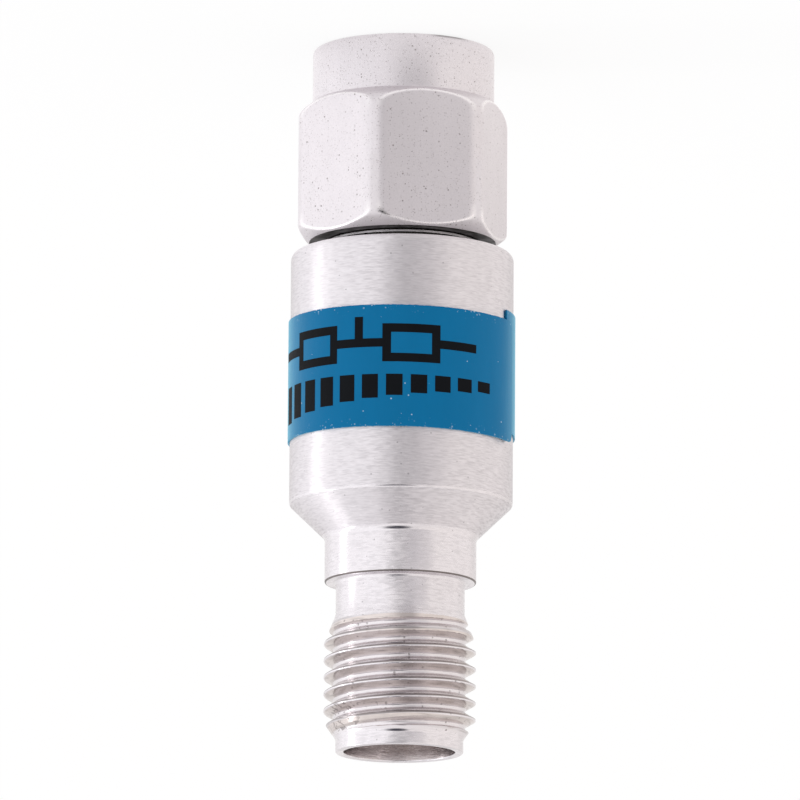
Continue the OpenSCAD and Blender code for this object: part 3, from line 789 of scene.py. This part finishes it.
class ATTENUATOR_OT_nut(bpy.types.Operator):
    """Turns the captive nut from hexagon bar, with its chamfers and its inner thread"""

    bl_idname = "attenuator.nut"
    bl_label = "Coupling nut"

    def execute(self, context):
        settings = context.scene.attenuator
        sizes = in_mm(settings.nut)
        nose, rear, corner, flat, mouth, thread, ridge, relief, bore, groove = (d / 2 for d in (
            sizes.nose_d, sizes.rear_d, sizes.corner_d, sizes.flats, sizes.mouth_d, sizes.thread_d,
            sizes.thread_inner_d, sizes.relief_d, sizes.bore_d, sizes.groove_d))
        end, nose_z, relief_z, shoulder = (
            sizes.nut_length, sizes.nose_length, sizes.relief_start, sizes.shoulder)
        low, high, lead, soft = sizes.groove_start, sizes.groove_end, sizes.lead, sizes.soft_edge
        slope = math.tan(sizes.chamfer)
        chamfer, rear_chamfer = (corner - nose) / slope, (corner - rear) / slope
        thread_z = sizes.mouth_depth + mouth - thread
        bm = turn_outline([
            (mouth, 0), (nose, 0), (nose, nose_z), (corner, nose_z + chamfer), (corner, end - rear_chamfer),
            (rear, end), (bore + lead, end), (bore, end - lead), (bore, high), (groove, high),
            (groove, low), (bore, low), (bore, shoulder), (relief, shoulder), (relief, relief_z),
            (thread, relief_z), (thread, thread_z), (mouth, sizes.mouth_depth)], sizes.columns)
        round_ring(bm, nose, 0, sizes.rim_r, 6)
        round_ring(bm, mouth, 0, sizes.mouth_edge_r, 3)
        pitch, rows = in_mm(settings.body).thread_pitch, sizes.thread_rows
        outer_row, inner_row = 0.05, 0.3

        def row_height(r, z):
            if r > nose + NEAR:
                return outer_row
            if abs(r - thread) < NEAR and z < relief_z:
                return pitch / rows
            return inner_row

        split_rows(bm, row_height)

        def turned_radius(z):
            front = smooth_min(nose + (z - nose_z) * slope, corner, sizes.soft_corner)
            return smooth_min(front, rear + (end - z) * slope, sizes.soft_corner / 2)

        def hexagon_radius(co):
            around = math.degrees(math.atan2(co.y, co.x) - sizes.turn) % 60 - 30
            return flat / math.cos(math.radians(around))

        def within(co, middle, reach):
            """How near a point lies to the middle of a stretch round the axis, given in degrees."""
            return min(1.0, 2 * falling(math.degrees(math.atan2(co.y, co.x)) - middle, reach))

        # The middle and the reach, in degrees, of the painted shade on one rear corner and on the front
        # rim.
        corner_shade, rim_shade, rim_shade_share = (-79, 6), (-121, 15), 0.7
        worn, frosted, painted_shade = (bm.verts.layers.float.new(name) for name in ("worn", "frosted", "painted_shade"))
        for vert in bm.verts:
            r, z = radius(vert.co), vert.co.z
            if r > nose + NEAR:
                turned, flats = turned_radius(z), hexagon_radius(vert.co)
                on_edge = falling(turned - flats, soft)
                vert[worn] = clamp(2 - min(z - nose_z, end - z) / chamfer) * on_edge
                if z > (nose_z + end) / 2:
                    vert[frosted] = clamp((flats - turned) / soft)
                    foot = falling(end - rear_chamfer - z, rear_chamfer / 2)
                    vert[painted_shade] = within(vert.co, *corner_shade) * foot * on_edge
                set_radius(vert, max(nose, smooth_min(turned, flats, soft)))
            elif r > mouth + NEAR and z < sizes.rim_r:
                on_rim = falling(z - sizes.rim_r / 4, sizes.rim_r / 2)
                vert[painted_shade] = rim_shade_share * within(vert.co, *rim_shade) * on_rim
            elif abs(r - thread) < NEAR and thread_z < z < relief_z - MERGE:
                if thread_z + pitch / rows < z < relief_z - pitch / rows:
                    lay_on_helix(vert, pitch, 0.0, rows)
                    z = vert.co.z
                away = max(0.0, ridge_distance(vert.co, pitch, 0.0) - pitch / 16)
                fade = min(1.0, (z - thread_z) / pitch, (relief_z - z) / (pitch / 2))
                depth = max(0.0, (thread - ridge) - away * FLANK_SLOPE)
                set_radius(vert, thread - depth * fade)
        mend_normals(bm)
        inside, at_rear = 1, 2
        for face in bm.faces:
            middle = face.calc_center_median()
            if middle.z > end - NEAR:
                face.material_index = at_rear
            elif radius(middle) < mouth:
                face.material_index = inside
        tones = settings.finishes
        materials = [
            tumbled_metal("nut_steel", tones.nut_steel, tones.pit, tones.worn, tones.soot,
                          settings.nut.nose_length),
            turned_metal("nut_thread_steel", tones.stain, tones.dull, 0.3, 0.3, 0.004,
                         pitch=20000.0, pits=0.2),
            # Painted shade: the nut's rear face is near black.
            turned_metal("rear_shade_steel", tones.soot, shaded(tones.soot, 0.7), 0.4, 0.0, 0.002),
        ]
        add_piece("hexagon_nut", bm, materials, "nut", "nut_steel", "coupling_nut")
        return {"FINISHED"}


# The small steps of the label's cut edge: waves along the label, their weight and their own slice of noise.
RAGGED_WAVES = ((260, 1.0, 3.0), (900, 0.6, 7.0))


class ATTENUATOR_OT_label(bpy.types.Operator):
    """Winds the printed label round the barrel and lays its marks on it"""

    bl_idname = "attenuator.label"
    bl_label = "Wound label"

    def execute(self, context):
        settings = context.scene.attenuator
        sizes = in_mm(settings.label)
        inner = in_mm(settings.body).barrel_d / 2 + sizes.lift
        low_z = BODY_BOX[0].z / MM + sizes.setback
        full = TURN + sizes.overlap
        arc, rounding = inner * full, sizes.corner_r

        def wound(share, across, height=0.0):
            """A point of the label at a share of its way round and a distance across it."""
            way = share * full
            climb = clamp((way - TURN + sizes.climb) / sizes.climb)
            r = inner + (sizes.thickness + sizes.lift) * climb * climb * (3 - 2 * climb) + height
            around = sizes.start - way
            z = low_z + sizes.skew * (share - 0.5) + across
            return Vector((r * math.cos(around), r * math.sin(around), z))

        bm = bmesh.new()
        columns, rows = 384, 24
        bmesh.ops.create_grid(bm, x_segments=columns, y_segments=rows, size=0.5)
        rim = bm.verts.layers.float.new("rim")
        for vert in bm.verts:
            share, across = vert.co.x + 0.5, (vert.co.y + 0.5) * sizes.width
            vert[rim] = falling(min(across, sizes.width - across), sizes.rim_dust)
            end = (1 - share) * arc
            if end < rounding:
                drop = rounding - math.sqrt(max(0.0, rounding ** 2 - (rounding - end) ** 2))
                across = min(max(across, drop), sizes.width - drop)
            near_edge = falling(min(across, sizes.width - across), sizes.ragged_reach)
            step = sum(weight * noise.noise(Vector((share * waves, across, own)))
                       for waves, weight, own in RAGGED_WAVES)
            vert.co = wound(share, across + sizes.ragged * step * near_edge)
        mend_normals(bm)
        if sum(faces_outward(face) for face in bm.faces) < 0:
            bmesh.ops.reverse_faces(bm, faces=bm.faces)
        bmesh.ops.solidify(bm, geom=bm.faces[:], thickness=-sizes.thickness)
        mend_normals(bm)
        tones = settings.finishes
        film = film_material("label_film", tones.film)
        add_piece("wound_label", bm, [film], "barrel", "label_film", "label")
        ink = plain_finish("label_ink", tones.mark, 0.55, 0.0, 0.002, 0.7, shine=0.05)
        add_piece("label_marks", self.marks(sizes, wound, arc), [ink], "barrel", "label_film")
        return {"FINISHED"}

    def marks(self, sizes, wound, arc):
        """Plain printed marks: two boxes on a line with a short stem, and a row of falling bars."""
        front = (sizes.start + TURN / 4) / (TURN + sizes.overlap)
        low, high, line = 0.8, 2.4, 0.36
        middle = (low + high - line) / 2
        stops = (-6.9, -5.2, -2.8, -0.8, 1.6, 3.3)
        shapes = [(left, right, middle, middle + line) for left, right in zip(stops[::2], stops[1::2])]
        stem_left, stem_right, stem_foot = -1.98, -1.62, 0.5
        shapes.append((stem_left, stem_right, stem_foot, middle))
        for left, right in zip(stops[1::2], stops[2::2]):
            inside = (left + line, right - line)
            shapes += [(left, left + line, low, high), (right - line, right, low, high),
                       (*inside, low, low + line), (*inside, high - line, high)]
        bars, first, pitch, wide, foot, tall, short = 11, -6.7, 1.01, 0.68, 2.92, 1.55, 0.45
        for i in range(bars):
            left = first + i * pitch
            shapes.append((left, left + wide, foot, foot + tall - (tall - short) * i / (bars - 1)))
        bm = bmesh.new()
        column = 0.12
        for left, right, low, high in shapes:
            made = bmesh.ops.create_grid(bm, x_segments=max(2, int((right - left) / column)), y_segments=3,
                                         size=0.5)
            for vert in made["verts"]:
                along = left + (vert.co.x + 0.5) * (right - left)
                across = low + (vert.co.y + 0.5) * (high - low)
                vert.co = wound(front + along / arc, across, sizes.thickness + sizes.mark_height)
        mend_normals(bm)
        for face in bm.faces:
            if faces_outward(face) < 0:
                face.normal_flip()
        bmesh.ops.solidify(bm, geom=bm.faces[:], thickness=sizes.mark_height)
        mend_normals(bm)
        return bm


class ATTENUATOR_OT_inner_pieces(bpy.types.Operator):
    """Gives the shell, the ring, the contacts, the insulators and the chip their finishes"""

    bl_idname = "attenuator.inner_pieces"
    bl_label = "Inner pieces"

    def execute(self, context):
        tones, sizes = context.scene.attenuator.finishes, context.scene.attenuator.nut
        # Painted shade: the shell is near black in the gap behind the nut.
        shade_start = sizes.nut_length - 0.4 * MM
        shell = shell_metal("shell_steel", tones.steel, tones.soot, shade_start, sizes.bore_d / 2)
        self.finish(shell, "plug_shell")
        # Each row has the material, its colour, roughness, metal, relief and darkest level, and the nodes.
        for *values, nodes in (
                ("ring_bronze", tones.bronze, 0.35, 1.0, 0.004, 0.86, ["snap_ring"]),
                ("gasket_rubber", tones.silicone, 0.6, 0.0, 0.012, 0.86, ["nut_gasket"]),
                ("pin_gold", tones.gold, 0.22, 1.0, 0.002, 0.94, ["plug_pin"]),
                ("socket_gold", tones.gold, 0.22, 1.0, 0.002, 0.94, ["jack_socket"]),
                ("plug_insulator", tones.insulator, 0.5, 0.0, 0.006, 0.95, ["plug_dielectric"]),
                ("jack_insulator", tones.insulator, 0.5, 0.0, 0.006, 0.95, ["jack_dielectric"]),
                ("chip_alumina", tones.alumina, 0.6, 0.0, 0.005, 0.95, ["chip_substrate"]),
                ("fired_resistor", tones.resistor, 0.45, 0.0, 0.006, 0.86, ["resistor_film"]),
                ("carrier_brass", tones.brass, 0.35, 1.0, 0.005, 0.86, ["carrier_front", "carrier_back"]),
                ("fired_silver", tones.silver, 0.4, 1.0, 0.006, 0.86, ["end_pads", "ground_pads"])):
            self.finish(plain_finish(*values), *nodes)
        return {"FINISHED"}

    def finish(self, material, *nodes):
        """Gives the slots of some nodes one material."""
        for node in nodes:
            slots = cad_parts[node].material_slots
            if not slots:
                raise RuntimeError(f"{node} has no material slot")
            for slot in slots:
                slot.material = material


class ATTENUATOR_OT_stage(bpy.types.Operator):
    """Lays the floor, sets the soft light and places the camera"""

    bl_idname = "attenuator.stage"
    bl_label = "Floor, light and camera"

    def execute(self, context):
        sizes = context.scene.attenuator.stage
        context.scene.view_settings.view_transform = "Standard"
        self.floor(sizes)
        self.world(context)
        self.lamp(sizes)
        self.camera(context, sizes)
        return {"FINISHED"}

    def cleared(self, data):
        """The nodes of a material or a world, with none in it yet."""
        data.use_nodes = True
        data.node_tree.nodes.clear()
        return Nodes(data.node_tree)

    def floor(self, sizes):
        """A white floor that takes a faint shadow and shows the room in reflections."""
        material = bpy.data.materials.new("pale_floor")
        nodes = self.cleared(material)
        light = nodes.add("LightPath")
        seen = nodes.calc("MAXIMUM", light["Is Glossy Ray"], light["Is Transmission Ray"])
        seen = nodes.calc("MAXIMUM", light["Is Camera Ray"], seen)
        way = nodes.vector("SUBTRACT", nodes.place(), (0, 0, sizes.aim_height))
        tone = nodes.mix(light["Is Glossy Ray"], WHITE, nodes.group(studio_room, Vector=way)["Color"])
        matt = nodes.add("BsdfDiffuse", Color=rgba(sizes.floor_colour))[0]
        white = nodes.add("Emission", Color=tone, Strength=1.0)[0]
        both = nodes.add("MixShader", _0=nodes.times(seen, 1.0 - sizes.shadow), _1=matt, _2=white)[0]
        nodes.add("OutputMaterial", Surface=both)
        bm = bmesh.new()
        bmesh.ops.create_circle(bm, cap_ends=True, segments=128, radius=sizes.floor_r,
                                matrix=Matrix.Translation((0, 0, -sizes.floor_gap)))
        add_mesh("floor", bm, [material])

    def world(self, context):
        """The room's light by direction, and plain white for the camera."""
        context.scene.world = bpy.data.worlds.new("studio")
        nodes = self.cleared(context.scene.world)
        room = nodes.group(studio_room, Vector=nodes.add("TexCoord")["Generated"])
        seen = nodes.mix(nodes.add("LightPath")["Is Camera Ray"], room["Color"], WHITE)
        nodes.add("OutputWorld", Surface=nodes.add("Background", Color=seen, Strength=1.0)[0])

    def lamp(self, sizes):
        """A tall strip lamp on the cool side, which draws the narrow highlight."""
        data = bpy.data.lights.new("strip_lamp", "AREA")
        data.shape = "RECTANGLE"
        data.size, data.size_y = sizes.lamp_width, sizes.lamp_height
        data.energy = sizes.lamp_level * math.pi * data.size * data.size_y
        lamp = add_object("strip_lamp", data)
        lamp.location = sizes.lamp_place
        aim = Vector((0, 0, sizes.aim_height)) - lamp.location
        lamp.rotation_euler = aim.to_track_quat("-Z", "Y").to_euler()

    def camera(self, context, sizes):
        """A long lens a little above the horizon, turned so that the nut is at the top of the picture."""
        data = bpy.data.cameras.new("camera")
        data.sensor_width = 36.0
        data.lens = sizes.lens
        data.clip_start, data.clip_end = 0.01, 20.0
        camera = add_object("camera", data)
        back = Vector((0, -math.cos(sizes.camera_rise), math.sin(sizes.camera_rise)))
        side = Vector((-1, 0, 0))
        top = back.cross(side)
        right = side * math.cos(sizes.camera_lean) + top * math.sin(sizes.camera_lean)
        up = top * math.cos(sizes.camera_lean) - side * math.sin(sizes.camera_lean)
        place = Vector((sizes.aim_side, 0, sizes.aim_height)) + back * sizes.camera_distance
        turn = Matrix((right, up, back)).transposed().to_4x4()
        camera.matrix_world = Matrix.Translation(place) @ turn
        context.scene.camera = camera


class ATTENUATOR_PT_panel(bpy.types.Panel):
    """Lists the steps that build the attenuator"""

    bl_idname = "ATTENUATOR_PT_panel"
    bl_label = "Coaxial attenuator"
    bl_space_type = "VIEW_3D"
    bl_region_type = "UI"
    bl_category = "Attenuator"

    def draw(self, context):
        for operator in OPERATORS:
            self.layout.operator(operator.bl_idname)


GROUPS = (BodySizes, NutSizes, LabelSizes, Finishes, StageSizes, AttenuatorSettings)
OPERATORS = (ATTENUATOR_OT_body, ATTENUATOR_OT_nut, ATTENUATOR_OT_label, ATTENUATOR_OT_inner_pieces,
             ATTENUATOR_OT_stage)
CLASSES = GROUPS + OPERATORS + (ATTENUATOR_PT_panel,)


def register():
    for cls in CLASSES:
        bpy.utils.register_class(cls)
    bpy.types.Scene.attenuator = PointerProperty(type=AttenuatorSettings)


def unregister():
    del bpy.types.Scene.attenuator
    for cls in reversed(CLASSES):
        bpy.utils.unregister_class(cls)


def main():
    """Builds the pieces and the stage."""
    register()
    bpy.ops.attenuator.body()
    bpy.ops.attenuator.nut()
    bpy.ops.attenuator.label()
    bpy.ops.attenuator.inner_pieces()
    bpy.ops.attenuator.stage()


if __name__ == "__main__":
    main()
